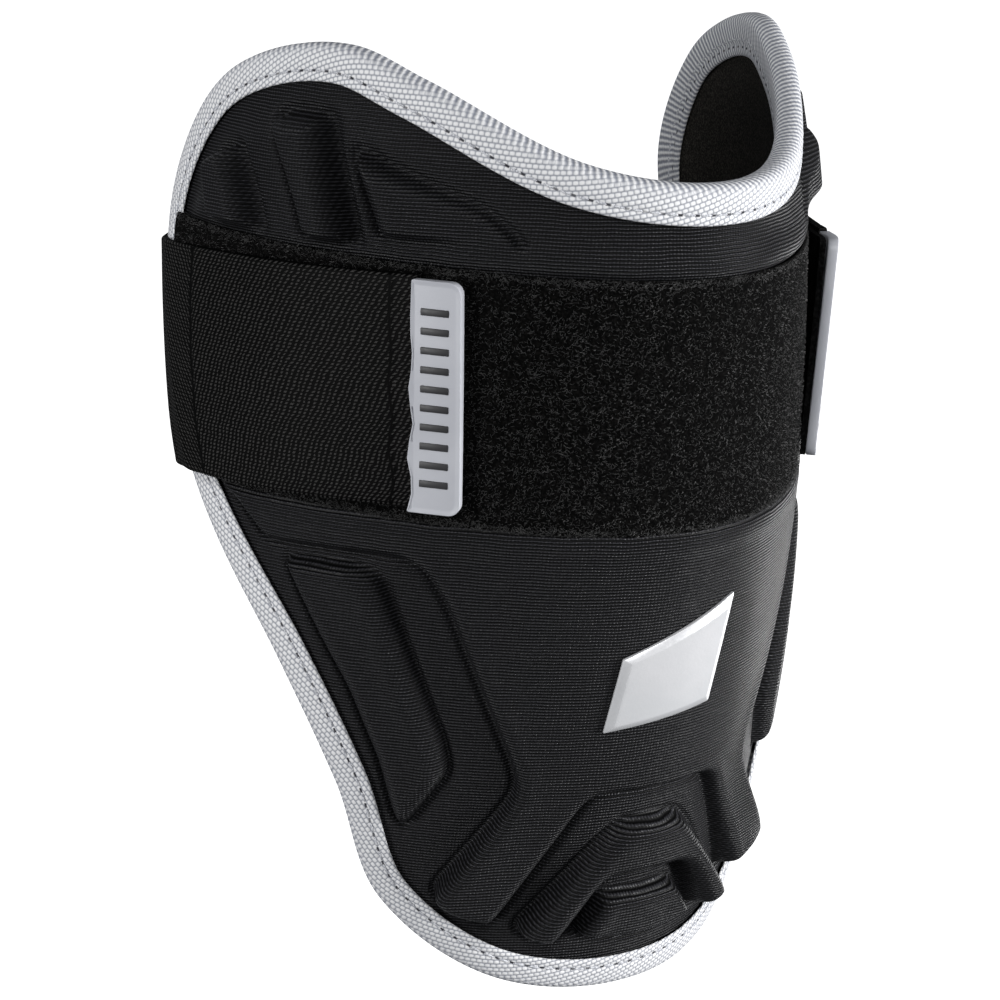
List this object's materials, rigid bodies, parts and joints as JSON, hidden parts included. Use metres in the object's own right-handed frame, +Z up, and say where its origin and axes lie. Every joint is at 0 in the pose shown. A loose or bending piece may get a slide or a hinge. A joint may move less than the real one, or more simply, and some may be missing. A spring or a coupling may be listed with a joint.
{
  "type": "baseball elbow guard",
  "caption": "Wrap-round elbow guard with raised padded panels, bound edge, loop field, elastic strap with stiff pull tabs and an open arm hollow.",
  "frame": {"origin": "on the arm axis, halfway up the strap, where the arm fills the guard", "axes": "+Z up along the arm towards the upper arm, -Y out through the front of the plate, +X to the right seen from the front"},
  "size_m": [0.1562, 0.1523, 0.213],
  "materials": {
    "cover_knit": "black ribbed knit over moulded foam",
    "lining_nap": "black short-napped lining",
    "binding_tape": "light grey twill tape with a stitched edge",
    "loop_pile": "black loop pile",
    "strap_elastic": "black woven elastic",
    "hook_tape": "black hook tape",
    "tab_rubber": "satin light grey moulded rubber",
    "badge_silver": "satin silver with bevelled rim"
  },
  "bodies": {
    "root": {"shell": "cover_knit", "lining": "lining_nap", "edge_binding": "binding_tape", "loop_field": "loop_pile", "back_strap": "strap_elastic", "hook_pad_left": "hook_tape", "hook_pad_right": "hook_tape", "pull_tab_left": "tab_rubber", "pull_tab_right": "tab_rubber", "badge": "badge_silver"}
  },
  "joints": []
}
